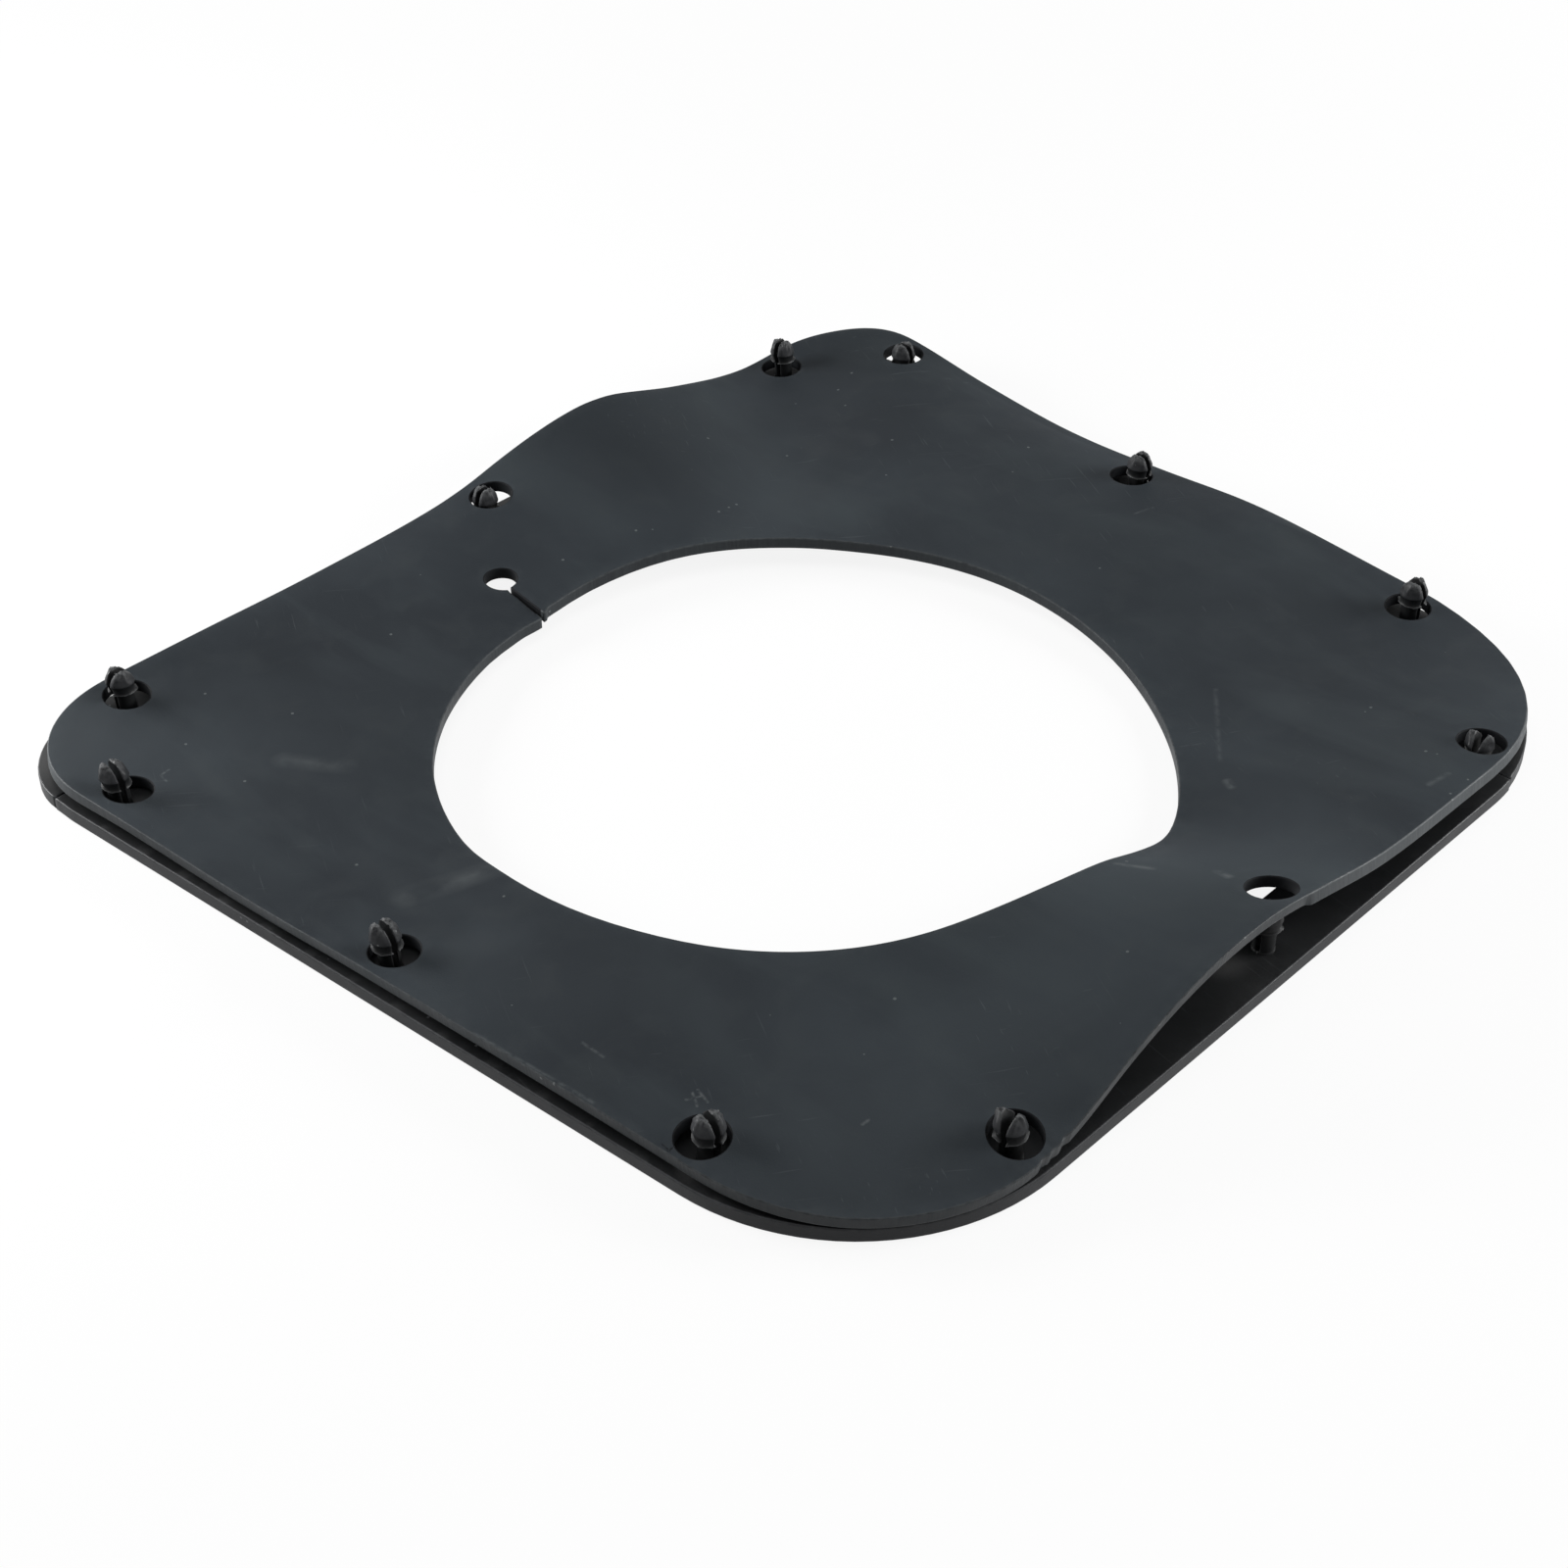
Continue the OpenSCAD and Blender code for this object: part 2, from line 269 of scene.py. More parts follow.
# Soft areas of painted light where the sheet is paler, and of painted shade where it is darker: x,
# y, reach and strength
PAINTED_LIGHT_AREAS = [
    (-142, -158, 46, 0.34), (66, 112, 50, 0.09), (125, -133, 50, 0.07), (133, -78, 36, 0.06),
    (45, -126, 50, 0.05),
]
PAINTED_SHADE_AREAS = [
    (-140, 55, 60, 0.42), (-110, 40, 40, 0.2), (-128, 150, 60, 0.4), (-72, -94, 45, 0.25),
    (-122, -100, 45, 0.25), (-5, 113, 60, 0.2), (137, -18, 30, 0.2),
]
# Painted light and painted shade in soft areas on the sheet's cut walls, and painted light on the
# strips' tops, the first of these a painted reflection
PAINTED_LIGHT_WALLS = [(150, 60, 85, 0.4), (-150, -150, 50, 0.7)]
PAINTED_SHADE_WALLS = [
    (150, -62, 75, 0.5), (100, -160, 80, 0.45), (-80, -160, 50, 0.3), (-40, 100, 60, 0.4),
]
PAINTED_STRIP_LIGHT = [(137, -14, 8.5, 0.5), (-139, -157, 18, 0.4)]


def srgb(red, green, blue):
    """Linear colour for values that are given as 0 to 255 on a screen."""
    share = [v / 255 for v in (red, green, blue)]
    linear = [s / 12.92 if s <= 0.04045 else ((s + 0.055) / 1.055) ** 2.4 for s in share]
    return (*linear, 1)


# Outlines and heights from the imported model

def triangles(node):
    """Corner points of a node's triangles, as an array of shape (count, 3, 3)."""
    mesh = frame["nodes"][node].data
    mesh.calc_loop_triangles()
    points = np.empty(len(mesh.vertices) * 3)
    mesh.vertices.foreach_get("co", points)
    corners = np.empty(len(mesh.loop_triangles) * 3, int)
    mesh.loop_triangles.foreach_get("vertices", corners)
    return points.reshape(-1, 3)[corners.reshape(-1, 3)]


def facing(tris, up):
    """The triangles that look up, or with up=-1 down, within about 70 degrees."""
    normal = np.cross(tris[:, 1] - tris[:, 0], tris[:, 2] - tris[:, 0])
    return tris[normal[:, 2] * up > LEAST_UPRIGHT * np.linalg.norm(normal, axis=1)]


def outlines(tris, up):
    """Closed outlines of triangles in plan, largest first, with the material on their left."""
    flat = np.round(tris[:, :, :2] / PLAN_GRID).astype(int)
    if up < 0:
        flat = flat[:, ::-1]
    edges = {}
    for corners in flat.tolist():
        keys = [tuple(c) for c in corners]
        for a, b in zip(keys, keys[1:] + keys[:1]):
            if a != b:
                if (b, a) in edges:
                    del edges[(b, a)]
                else:
                    edges[(a, b)] = True
    follow = {}
    for a, b in edges:
        follow.setdefault(a, []).append(b)
    loops = []
    while follow:
        start = next(iter(follow))
        loop, here = [], start
        while here in follow:
            loop.append(here)
            ahead = follow[here].pop()
            if not follow[here]:
                del follow[here]
            here = ahead
        if len(loop) >= FEWEST_POINTS:
            loops.append(np.array(loop, float) * PLAN_GRID)
    return sorted(loops, key=lambda p: -abs(area(p)))


def area(loop):
    """Signed area of a closed outline: positive if it runs anticlockwise."""
    x, y = loop[:, 0], loop[:, 1]
    return 0.5 * float(np.sum(x * np.roll(y, -1) - np.roll(x, -1) * y))


def smoothstep(share):
    """A share from 0 to 1 that starts and ends softly."""
    return share * share * (3 - 2 * share)


def even_points(loop, step, passes):
    """The outline with evenly spaced points. Its sharp corners stay, and the rest is softened."""
    gap = np.linalg.norm(loop - np.roll(loop, 1, 0), axis=1)
    loop = loop[gap > SHORTEST_EDGE]
    ahead = np.roll(loop, -1, 0) - loop
    heading = np.arctan2(ahead[:, 1], ahead[:, 0])
    change = heading - np.roll(heading, 1)
    turn = np.degrees(np.abs((change + math.pi) % (2 * math.pi) - math.pi))
    sharp = list(np.nonzero(turn > CORNER_TURN)[0])
    starts = sharp or [0]
    out, corners = [], []
    for n, i in enumerate(starts):
        j = starts[(n + 1) % len(starts)]
        count = (j - i) % len(loop) or len(loop)
        run = np.array([loop[(i + k) % len(loop)] for k in range(count + 1)])
        lengths = np.linalg.norm(np.diff(run, axis=0), axis=1)
        along = np.concatenate([[0], np.cumsum(lengths)])
        parts = max(2, round(along[-1] / step))
        at = np.linspace(0, along[-1], parts + 1)[:-1]
        corners.append(len(out))
        out += list(np.column_stack([np.interp(at, along, run[:, c]) for c in (0, 1)]))
    out = np.array(out)
    fixed = np.zeros(len(out), bool)
    if sharp:
        fixed[corners] = True
    for _ in range(passes):
        mean = (np.roll(out, 1, 0) + 2 * out + np.roll(out, -1, 0)) / 4
        out = np.where(fixed[:, None], out, mean)
    return out


def outward(loop):
    """Direction out of the material at each point of an outline, longer at a sharp corner."""
    ahead = np.roll(loop, -1, 0) - loop
    ahead /= np.linalg.norm(ahead, axis=1)[:, None]
    normal = np.column_stack([ahead[:, 1], -ahead[:, 0]])
    mean = normal + np.roll(normal, 1, 0)
    mean /= np.maximum(np.linalg.norm(mean, axis=1), 1e-9)[:, None]
    lean = np.maximum(np.sum(mean * normal, axis=1), LEAST_LEAN)
    return mean / lean[:, None]


def inside(points, loops):
    """True for each point that lies inside the outlines, by counting crossings."""
    hit = np.zeros(len(points), bool)
    for loop in loops:
        a, b = loop, np.roll(loop, -1, 0)
        for p, q in zip(a, b):
            across = (p[1] > points[:, 1]) != (q[1] > points[:, 1])
            if across.any():
                x = p[0] + (points[:, 1] - p[1]) * (q[0] - p[0]) / (q[1] - p[1] + 1e-30)
                hit ^= across & (points[:, 0] < x)
    return hit


class Heights:
    """Height of a set of triangles over a point of the plan, also a little past their edge."""

    def __init__(self, tris):
        self.tris = tris
        flat = tris.copy()
        flat[:, :, 2] = 0
        points = [Vector(p) for p in flat.reshape(-1, 3)]
        corners = [(3 * k, 3 * k + 1, 3 * k + 2) for k in range(len(tris))]
        self.tree = BVHTree.FromPolygons(points, corners)

    def at(self, x, y):
        """Height of the nearest triangle's plane over a place in plan."""
        near, _, face, _ = self.tree.find_nearest(Vector((x, y, 0)))
        a, b, c = self.tris[face]
        u, v = b - a, c - a
        normal = np.cross(u, v)
        return a[2] - (normal[0] * (near.x - a[0]) + normal[1] * (near.y - a[1])) / normal[2]


# Plates: a flat outline with holes, given a thickness, waves and rounded edges

def plan_mesh(rims, step):
    """Triangles that fill the outlines, with even points between them: (points, triangles)."""
    low, high = rims[0].min(0), rims[0].max(0)
    row_step = step * math.sqrt(3) / 2
    rows = np.arange(low[1], high[1], row_step)
    grid = np.array([
        (x, y)
        for k, y in enumerate(rows)
        for x in np.arange(low[0] + (k % 2) * step / 2, high[0], step)
    ])
    grid = grid[inside(grid, rims)]
    rim_points = np.vstack(rims)
    clear = np.ones(len(grid), bool)
    for p in rim_points:
        near = np.abs(grid - p).max(1) < step
        clear[near] &= np.linalg.norm(grid[near] - p, axis=1) > RIM_CLEARANCE * step
    points = np.vstack([rim_points, grid[clear]])
    edges, first = [], 0
    for rim in rims:
        edges += [(first + k, first + (k + 1) % len(rim)) for k in range(len(rim))]
        first += len(rim)
    made = delaunay_2d_cdt([Vector(p) for p in points], edges, [], 0, 1e-9)
    points, tris = np.array([tuple(v) for v in made[0]]), np.array(made[2])
    middle = points[tris].mean(1)
    tris = tris[inside(middle, rims)]
    return points, tris


def edge_profile(thick, edge_r):
    """Levels of a wall from the upper to the lower lip: (way out, height, edge share)."""
    turns = [math.radians(t) for t in EDGE_TURNS]
    steps = [(edge_r * math.sin(t), edge_r * (1 - math.cos(t))) for t in turns]
    upper = [(out, thick - down, share) for (out, down), share in zip(steps, EDGE_SHARES)]
    flat = [thick - edge_r - WORN_RING, thick / 2, edge_r + WORN_RING]
    lower = [(out, down, share * LOWER_EDGE) for (out, down), share in zip(steps, EDGE_SHARES)]
    return upper + [(edge_r, up, 0.0) for up in flat] + lower[::-1]


def plate(loops, thick, edge_r, step, uneven, under=None, passes=0, slant=None, wall_kind=None):
    """Mesh data of a plate: (vertices, faces, material number of faces, edge share of vertices).

    loops are its outlines, uneven is how far its walls stray, under(x, y) is the height of its
    underside, passes is how many times its waves are evened out between the model's own facets, and
    slant(x, y) is how far the lower lip stands out on the outer wall. wall_kind(number of the
    outline, point) gives a wall's material number, which else is 1.
    """
    rims = [loop - edge_r * outward(loop) for loop in loops]
    plan, tris = plan_mesh(rims, step)
    count = len(plan)
    low = np.array([under(x, y) for x, y in plan]) if under else np.zeros(count)
    firsts = np.cumsum([0] + [len(r) for r in rims])
    low = even_waves(low, tris, firsts, passes)
    verts = [np.column_stack([plan, low + thick]), np.column_stack([plan, low])]
    faces = [tuple(t) for t in tris] + [tuple(t + count)[::-1] for t in tris]
    kinds = [0] * len(faces)
    shares = 2 * ([RIM_SHARE] * firsts[-1] + [0.0] * (count - firsts[-1]))
    if slant:
        outer = np.array([slant(x, y) for x, y in loops[0]])
        verts[1][:len(rims[0]), :2] += outward(loops[0]) * outer[:, None]
    total = 2 * count
    for number, (loop, rim, first) in enumerate(zip(loops, rims, firsts)):
        n = len(loop)
        looks = [wall_kind(number, point) if wall_kind else 1 for point in loop]
        out_dir = outward(loop)
        base = low[first:first + n]
        rings = [np.arange(first, first + n)]
        for out, up, share in edge_profile(thick, edge_r):
            stray = [uneven * noise.noise(Vector((x, y, up)) * WALL_WAVES) for x, y in loop]
            ring = rim + out_dir * (out + np.array(stray) * (share == 0))[:, None]
            if slant and not number:
                ring += out_dir * (outer * (1 - up / thick))[:, None]
            verts.append(np.column_stack([ring, base + up]))
            rings.append(np.arange(total, total + n))
            shares += [share] * n
            total += n
        rings.append(np.arange(first + count, first + count + n))
        for upper, lower in zip(rings, rings[1:]):
            faces += [
                (upper[(k + 1) % n], upper[k], lower[k], lower[(k + 1) % n])
                for k in range(n)
            ]
            kinds += looks
    return np.vstack(verts), faces, kinds, shares


def even_waves(low, tris, firsts, passes):
    """Heights that are smoothed over the mesh, and along the rims only on the rims."""
    if not passes:
        return low
    edges = np.vstack([tris[:, [0, 1]], tris[:, [1, 2]], tris[:, [2, 0]]])
    edges = np.unique(np.sort(edges, axis=1), axis=0)
    degree = np.bincount(edges.ravel(), minlength=len(low))
    for _ in range(passes):
        total = np.bincount(edges[:, 0], low[edges[:, 1]], len(low))
        total += np.bincount(edges[:, 1], low[edges[:, 0]], len(low))
        mean = (low + total / np.maximum(degree, 1)) / 2
        for a, b in zip(firsts, firsts[1:]):
            rim = low[a:b]
            for _ in range(RIM_PASSES):
                rim = (np.roll(rim, 1) + 2 * rim + np.roll(rim, -1)) / 4
            mean[a:b] = rim
        low = mean
    return low


def mesh_object(name, verts, faces, kinds, shares, materials):
    """A smooth shaded mesh object on the part's body, with its edge share for the materials."""
    mesh = bpy.data.meshes.new(name)
    faces = [tuple(int(i) for i in f) for f in faces]
    mesh.from_pydata([tuple(v) for v in verts], [], faces)
    for material in materials:
        mesh.materials.append(material)
    mesh.polygons.foreach_set("material_index", kinds)
    mesh.polygons.foreach_set("use_smooth", [True] * len(mesh.polygons))
    wear = mesh.attributes.new("edge_share", "FLOAT", "POINT")
    wear.data.foreach_set("value", shares)
    mesh.update()
    made = bpy.data.objects.new(name, mesh)
    bpy.context.scene.collection.objects.link(made)
    weigh = made.modifiers.new("Face weights", "WEIGHTED_NORMAL")
    weigh.keep_sharp = True
    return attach(made, "root")


# Studs

def stud_profile(height):
    """Levels of a prong from foot to tip: (radius, height, share of the nose, edge share)."""
    shoulder = BARB_Z + BAND_H
    levels = [
        (FOOT_R, -0.5 * MM, 0, 0), (FOOT_R, FOOT_H, 0, 0.3), (SHANK_R, FOOT_H + 0.15 * MM, 0, 0),
        (SHANK_R, BARB_Z - 0.25 * MM, 0, 0), (HEAD_R - 0.5 * MM, BARB_Z - 0.1 * MM, 0, 0.2),
        # The rim's edge shares give it worn flash and a painted highlight
        (HEAD_R, BARB_Z, 0, RIM_HIGHLIGHT), (HEAD_R, BARB_Z + 0.16 * MM, 0, 1),
        (BAND_FOOT_R, BARB_Z + 0.28 * MM, 0, 0), (BAND_R, shoulder - 0.22 * MM, 0, 0),
        (SHOULDER_R, shoulder - 0.08 * MM, 0, 0.1),
    ]
    for k in range(NOSE_LEVELS):
        share = k / (NOSE_LEVELS - 1)
        radius = TIP_R + (SHOULDER_R - TIP_R) * (1 - share ** NOSE_SHAPE)
        up = shoulder + (height - shoulder) * share
        levels.append((radius, up, share, NOSE_WEAR + NOSE_TIP_WEAR * share ** TEAR_SHAPE))
    return levels


def prong(side, rng, height, pointed):
    """One half of a split stud: its points, faces, their material numbers and edge shares.

    Only the rim and the nose have the stud's paler, rubbed plastic. The band, the shank and the
    slot's flat faces keep the strips' darker plastic: painted shade.
    """
    n = ARC_POINTS + SLOT_POINTS
    half = SLOT_W / 2
    seed = Vector((rng.uniform(0, SEED_SPAN), rng.uniform(0, SEED_SPAN), 0))
    ragged = [rng.uniform(-RAGGED, RAGGED) for _ in range(n)]
    lobe_turn = rng.uniform(-LOBE_TURN, LOBE_TURN)
    points, shares, rubbed = [], [], []
    for r, z, share, edge in stud_profile(height):
        split = z > FOOT_H
        start = math.asin(min(WIDEST_SLOT, half / r)) if split else 0.0
        back = half if split else 0.0
        flash = edge >= RIM_HIGHLIGHT and not share
        for k in range(n):
            if k < ARC_POINTS:
                a = start + (math.pi - 2 * start) * k / (ARC_POINTS - 1)
                turn = (a - math.pi / 2) % (2 * math.pi / FACETS) - math.pi / FACETS
                flat = math.cos(math.pi / FACETS) / math.cos(turn)
                reach = r * (1 + min(1, share * FACET_START) * FACET_DEPTH * (flat - 1))
                if flash:
                    lobe = max(0, math.cos((a + lobe_turn) * FACETS / 2))
                    reach += FLASH_LOBE * lobe ** LOBE_SHAPE
                x, y = reach * math.cos(a), reach * math.sin(a)
            else:
                width = r * math.cos(start)
                x = -width + 2 * width * (k - ARC_POINTS + 1) / (SLOT_POINTS + 1)
                y = back
            x *= 1 - POINTED_NARROW * pointed * share ** 2
            y += SPLAY * (z / height) ** 2 + POINTED_BEND * pointed * share ** 2
            up = z + ragged[k] * share ** TEAR_SHAPE * (1 - POINTED_CALM * pointed)
            up -= TIP_DROP * share ** TEAR_SHAPE * (x / TIP_R) ** 2
            rough = noise.noise(Vector((x, y, z)) * ROUGH_WAVES + seed) * ROUGH * share
            points.append(((x + rough) * side, (y + rough) * side, up + rough))
            shares.append(edge)
        rubbed.append(share > 0 or flash)
    faces = [
        (a * n + k, a * n + (k + 1) % n, (a + 1) * n + (k + 1) % n, (a + 1) * n + k)
        for a in range(len(rubbed) - 1) for k in range(n)
    ]
    # The band and the slot's flat faces take the darker plastic: painted shade
    kinds = [
        2 if upper and k < ARC_POINTS - 1 else 0
        for upper in rubbed[1:] for k in range(n)
    ]
    last = (len(rubbed) - 1) * n
    tip = np.mean(points[last:], axis=0) + np.array([0, 0, TIP_CAP])
    points.append(tuple(tip))
    shares.append(TIP_WEAR)
    faces += [(last + k, last + (k + 1) % n, len(points) - 1) for k in range(n)]
    kinds += [2] * n
    return points, faces, kinds, shares


def add_stud(strip, place, angle, habit, in_painted_shade, rng):
    """Puts both prongs of a stud on a strip's mesh data. A stud under the sheet keeps the strips'
    darker plastic all over, as painted shade.
    """
    verts, faces, kinds, shares = strip
    lean, taller, pointed, turn = habit
    height = STUD_H + taller * MM
    angle += math.radians(turn)
    ca, sa = math.cos(angle), math.sin(angle)
    for side in (1, -1):
        points, quads, looks, edges = prong(side, rng, height, pointed)
        first = len(verts)
        for x, y, z in points:
            bend = max(0, z / height) ** LEAN_SHAPE * MM
            verts.append((
                place[0] + x * ca - y * sa + lean[0] * bend,
                place[1] + x * sa + y * ca + lean[1] * bend, STRIP_T + z))
        faces += [tuple(first + i for i in f) for f in quads]
        # A stud under the sheet gets only the darker plastic: painted shade
        kinds += [0] * len(looks) if in_painted_shade else looks
        shares += edges


# Materials: how nodes are put together

def put(tree, kind, feeds=None, **settings):
    """Adds a shader node. feeds holds a value or another node's output for each input."""
    made = tree.nodes.new("ShaderNode" + kind)
    for name, value in settings.items():
        setattr(made, name, value)
    for name, value in (feeds or {}).items():
        if isinstance(value, bpy.types.NodeSocket):
            tree.links.new(value, made.inputs[name])
        else:
            made.inputs[name].default_value = value
    return made


def sums(tree, operation, a, b):
    """Output of a sum on two values."""
    return put(tree, "Math", {0: a, 1: b}, operation=operation).outputs[0]


def vector_sums(tree, operation, a, b):
    """Output of a sum on two vectors."""
    made = put(tree, "VectorMath", {0: a, 1: b}, operation=operation)
    return made.outputs["Value" if operation == "DOT_PRODUCT" else "Vector"]


def remap(tree, value, low, high, to_low=0.0, to_high=1.0):
    """The value moved from one range to another, and kept inside it."""
    ends = {"From Min": low, "From Max": high, "To Min": to_low, "To Max": to_high}
    return put(tree, "MapRange", {"Value": value, **ends}).outputs["Result"]


def blend(tree, share, colour, other):
    """The colour, replaced by the other one where the share is high."""
    return put(tree, "Mix", {0: share, 6: colour, 7: other}, data_type="RGBA").outputs[2]


def coats(tree, base, layers):
    """A base tone with other tones over it, each where its mask is high: (mask, strength, tone).

    Tones are given as 0 to 255 on a screen.
    """
    colour = srgb(*base)
    for mask, strength, tone in layers:
        colour = blend(tree, sums(tree, "MULTIPLY", mask, strength), colour, srgb(*tone))
    return colour


def spot(tree):
    """Place on the object."""
    return put(tree, "TexCoord").outputs["Object"]


def new_group(name, inputs, output):
    """A shader node group with named inputs, and one output that is a mask or a height."""
    tree = bpy.data.node_groups.new(name, "ShaderNodeTree")
    for label, value in inputs.items():
        kind = "NodeSocketVector" if isinstance(value, tuple) else "NodeSocketFloat"
        tree.interface.new_socket(label, in_out="INPUT", socket_type=kind).default_value = value
    tree.interface.new_socket(output, in_out="OUTPUT", socket_type="NodeSocketFloat")
    given = tree.nodes.new("NodeGroupInput").outputs
    result = tree.nodes.new("NodeGroupOutput").inputs[0]
    return tree, given, result


def use(tree, group, values):
    """Output of a group that is placed in a material with its own values."""
    made = tree.nodes.new("ShaderNodeGroup")
    made.node_tree = group
    for name, value in values.items():
        made.inputs[name].default_value = value
    return made.outputs[0]


# Materials: effects that several of them share

def soft_patches():
    """Hazy patches with soft borders."""
    inputs = {"Scale": 15.0, "Stretch": (1, 1, 1), "Shift": (0, 0, 0), "Low": 0.4, "High": 0.7}
    tree, given, result = new_group("Soft patches", inputs, "Mask")
    place = vector_sums(tree, "MULTIPLY", spot(tree), given["Stretch"])
    place = vector_sums(tree, "ADD", place, given["Shift"])
    feeds = {"Vector": place, "Scale": given["Scale"], "Detail": 4.0, "Distortion": 0.5}
    cloud = put(tree, "TexNoise", feeds)
    tree.links.new(remap(tree, cloud.outputs["Fac"], given["Low"], given["High"]), result)
    return tree


def fine_scratches():
    """Short thin scratches that all run one way."""
    inputs = {"Turn": 0.0, "Scale": 1500.0, "Low": 0.68}
    tree, given, result = new_group("Fine scratches", inputs, "Mask")
    feeds = {"Vector": spot(tree), "Angle": given["Turn"]}
    turned = put(tree, "VectorRotate", feeds, rotation_type="Z_AXIS")
    place = vector_sums(tree, "MULTIPLY", turned.outputs[0], (0.035, 1, 1))
    lines = put(tree, "TexNoise", {"Vector": place, "Scale": given["Scale"], "Detail": 1.0})
    high = sums(tree, "ADD", given["Low"], 0.1)
    tree.links.new(remap(tree, lines.outputs["Fac"], given["Low"], high), result)
    return tree


def pale_specks():
    """Tiny pale specks, on a share of the cells of a fine pattern."""
    inputs = {"Scale": 400.0, "Size": 0.16, "Share": 0.05}
    tree, given, result = new_group("Pale specks", inputs, "Mask")
    cells = put(tree, "TexVoronoi", {"Vector": spot(tree), "Scale": given["Scale"]})
    dot = sums(tree, "LESS_THAN", cells.outputs["Distance"], given["Size"])
    pick = put(tree, "SeparateColor", {0: cells.outputs["Color"]}).outputs[0]
    kept = sums(tree, "LESS_THAN", pick, given["Share"])
    tree.links.new(sums(tree, "MULTIPLY", dot, kept), result)
    return tree


def edge_wear_and_highlight():
    """Broken wear along edges and on tips, and the studs' rim line, which is partly a painted
    highlight.
    """
    inputs = {"Scale": 300.0, "Low": 0.35, "High": 0.65}
    tree, given, result = new_group("Edge wear and painted highlight", inputs, "Mask")
    edge = put(tree, "Attribute", attribute_name="edge_share").outputs["Fac"]
    chips = put(tree, "TexNoise", {"Vector": spot(tree), "Scale": given["Scale"], "Detail": 3.0})
    broken = remap(tree, chips.outputs["Fac"], given["Low"], given["High"])
    tree.links.new(sums(tree, "MULTIPLY", edge, broken), result)
    return tree


def fine_grain():
    """Fine moulded or rolled grain."""
    tree, given, result = new_group("Fine grain", {"Scale": 2500.0}, "Height")
    grain = put(tree, "TexNoise", {"Vector": spot(tree), "Scale": given["Scale"], "Detail": 2.0})
    tree.links.new(grain.outputs["Fac"], result)
    return tree


def scuff_line():
    """One scuff or crack between two places in plan, with a ragged border."""
    inputs = {"Start": (0, 0, 0), "End": (1, 0, 0), "Width": 0.001, "Strength": 1.0}
    tree, given, result = new_group("Scuff line", inputs, "Mask")
    flat = vector_sums(tree, "MULTIPLY", spot(tree), (1, 1, 0))
    from_start = vector_sums(tree, "SUBTRACT", flat, given["Start"])
    line = vector_sums(tree, "SUBTRACT", given["End"], given["Start"])
    share = sums(tree, "DIVIDE", vector_sums(tree, "DOT_PRODUCT", from_start, line),
                 vector_sums(tree, "DOT_PRODUCT", line, line))
    share = remap(tree, share, 0.0, 1.0)
    along = put(tree, "VectorMath", {0: line, "Scale": share}, operation="SCALE")
    feeds = {0: from_start, 1: along.outputs["Vector"]}
    off = put(tree, "VectorMath", feeds, operation="DISTANCE")
    near = remap(tree, off.outputs["Value"], given["Width"], 0.0)
    size = sums(tree, "DIVIDE", SCUFF_PARTS, given["Width"])
    chips = put(tree, "TexNoise", {"Vector": spot(tree), "Scale": size, "Detail": 4.0})
    broken = remap(tree, chips.outputs["Fac"], *SCUFF_LEVELS)
    mask = sums(tree, "MULTIPLY", sums(tree, "MULTIPLY", near, broken), given["Strength"])
    tree.links.new(mask, result)
    return tree


def soft_area():
    """A soft round area around a place in plan."""
    inputs = {"Place": (0, 0, 0), "Reach": 0.03, "Strength": 1.0}
    tree, given, result = new_group("Soft area", inputs, "Mask")
    flat = vector_sums(tree, "MULTIPLY", spot(tree), (1, 1, 0))
    off = put(tree, "VectorMath", {0: flat, 1: given["Place"]}, operation="DISTANCE")
    feeds = {"Value": off.outputs["Value"], "From Min": given["Reach"], "From Max": 0.0}
    near = put(tree, "MapRange", feeds, interpolation_type="SMOOTHSTEP").outputs["Result"]
    tree.links.new(sums(tree, "MULTIPLY", near, given["Strength"]), result)
    return tree


def areas(tree, group, places):
    """All the placed soft areas of one kind in one mask."""
    total = 0.0
    for x, y, reach, strength in places:
        values = {"Place": (x * MM, y * MM, 0), "Reach": reach * MM, "Strength": strength}
        total = sums(tree, "ADD", use(tree, group, values), total)
    return total


def marks(tree, group, places):
    """All the placed lines of one kind in one mask."""
    total = 0.0
    for x0, y0, x1, y1, width, strength in places:
        values = {
            "Start": (x0 * MM, y0 * MM, 0), "End": (x1 * MM, y1 * MM, 0), "Width": width * MM,
            "Strength": strength,
        }
        total = sums(tree, "MAXIMUM", use(tree, group, values), total)
    return total


# Materials

def new_material(name, gloss):
    """A material with the Principled shader: (material, tree, shader)."""
    material = bpy.data.materials.new(name)
    material.use_nodes = True
    shader = material.node_tree.nodes["Principled BSDF"]
    shader.inputs["Specular IOR Level"].default_value = gloss
    return material, material.node_tree, shader


def finish_material(tree, shader, colour, roughness, height, depth):
    """Joins the colour, the roughness and a height, with its depth in metres, to the shader."""
    tree.links.new(colour, shader.inputs["Base Color"])
    tree.links.new(roughness, shader.inputs["Roughness"])
    bump = put(tree, "Bump", {"Height": height, "Strength": BUMP_STRENGTH, "Distance": depth})
    tree.links.new(bump.outputs["Normal"], shader.inputs["Normal"])


def patchy(tree, effects, scale, low, high, **more):
    """Hazy patches on a material. more can stretch and shift their pattern."""
    return use(tree, effects["patches"], {"Scale": scale, "Low": low, "High": high, **more})


